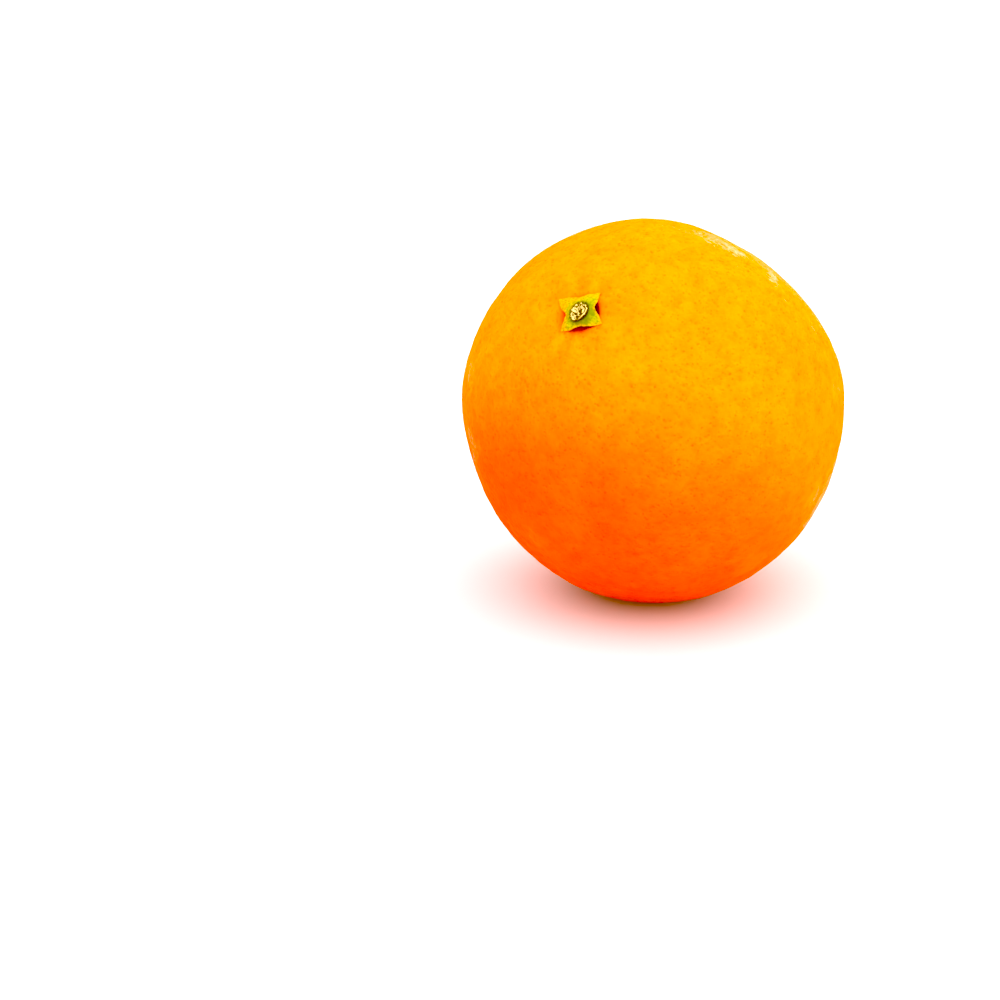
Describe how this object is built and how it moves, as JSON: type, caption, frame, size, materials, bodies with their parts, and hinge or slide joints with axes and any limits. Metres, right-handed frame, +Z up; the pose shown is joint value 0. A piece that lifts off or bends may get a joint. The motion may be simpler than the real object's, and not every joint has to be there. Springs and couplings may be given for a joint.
{
  "type": "orange",
  "caption": "Ripe whole orange lying on its side: a nearly round fruit with a pebbled rind, a star-shaped green calyx and the dry stub of its stem",
  "frame": {"origin": "The middle of the small flat spot on the rind that the fruit lies on.", "axes": "+Z up, square to the flat spot. The stem axis rises 44.3 degrees above the horizon and leans 30.9 degrees from -Y (front) towards -X (left), so the calyx faces up, forwards and to the left."},
  "size_m": [0.0741, 0.0746, 0.0744],
  "materials": {
    "rind": "waxy orange rind, finely pebbled with oil glands, satin sheen",
    "sepals": "matt yellow-green leaf tissue, drying to tan at its edges",
    "dry_wood": "dry, cracked, cream-coloured wood"
  },
  "bodies": {
    "root": {"fruit": "rind", "calyx": "sepals", "stem_stub": "dry_wood"}
  },
  "joints": []
}
